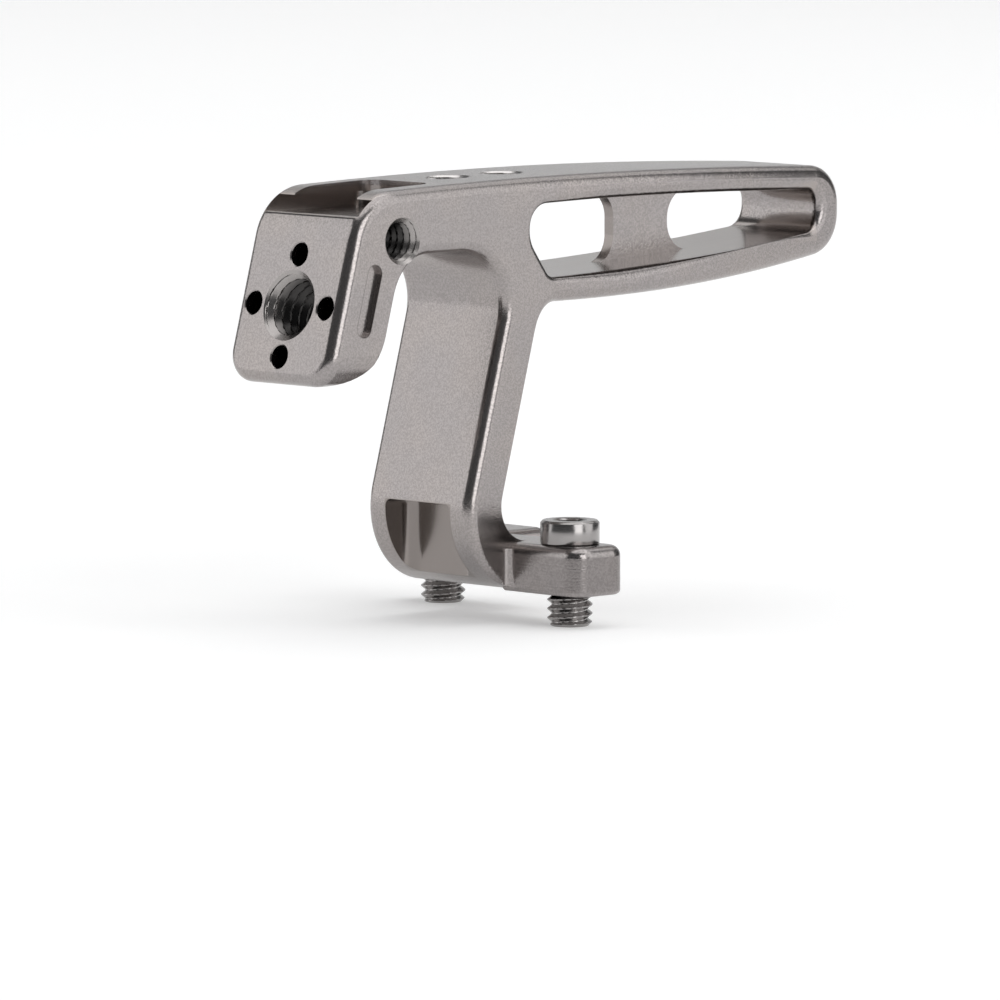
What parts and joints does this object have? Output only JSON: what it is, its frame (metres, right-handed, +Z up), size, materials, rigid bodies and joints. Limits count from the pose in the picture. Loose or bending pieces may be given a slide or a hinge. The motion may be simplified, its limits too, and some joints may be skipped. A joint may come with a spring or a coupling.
{
  "type": "camera handle",
  "caption": "One-piece machined top handle for a camera, with a windowed grip, an accessory shoe, threaded accessory holes and a screw-down foot.",
  "frame": {"origin": "on the flat underside of the foot, on the middle plane of the handle, half way between the two foot screws along the handle", "axes": "+X toward the rear end of the grip, +Y across toward the far side, +Z up; the side hole is on the -Y side"},
  "size_m": [0.1036, 0.0486, 0.0623],
  "materials": {
    "handle_body": "fine bead-blasted, warm titanium-grey anodised",
    "foot_screw_near": "bright turned steel",
    "foot_screw_far": "bright turned steel"
  },
  "bodies": {
    "root": {"handle_body": "handle_body", "foot_screw_near": "foot_screw_near", "foot_screw_far": "foot_screw_far"}
  },
  "joints": []
}
